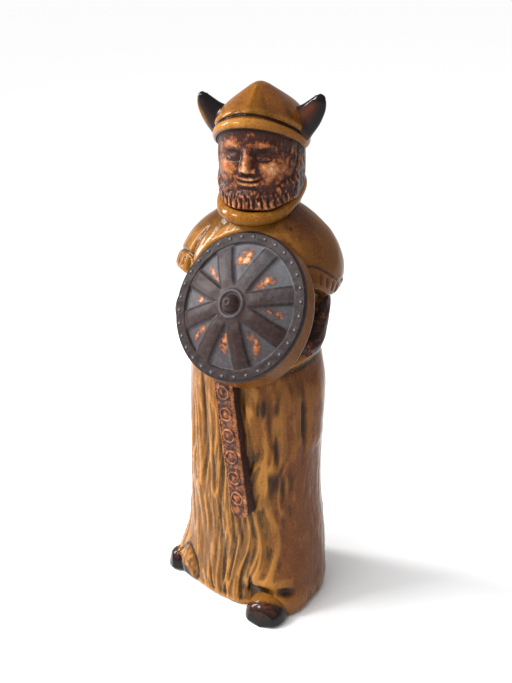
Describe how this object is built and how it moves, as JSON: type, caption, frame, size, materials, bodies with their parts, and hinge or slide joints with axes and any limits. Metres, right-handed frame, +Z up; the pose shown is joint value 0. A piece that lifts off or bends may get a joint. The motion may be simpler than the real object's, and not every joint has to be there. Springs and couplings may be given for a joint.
{
  "type": "viking warrior statue",
  "caption": "Standing glazed ceramic warrior figure in a horned helmet and long robe, holding a round shield over a hanging scabbard.",
  "frame": {"origin": "on the ground plane, on the flat underside, under the point of the helmet", "axes": "+Z up the figure, -Y the way the body faces, +X toward the figure's own left hand"},
  "size_m": [0.1087, 0.0997, 0.2999],
  "materials": {
    "glazed_body": "glossy amber-brown glaze over stoneware, with matte dark oxide-stained shield, scabbard, face and forearms, and near-black glossy horns and shoe toes"
  },
  "bodies": {
    "root": {"viking_figure": "glazed_body"}
  },
  "joints": []
}
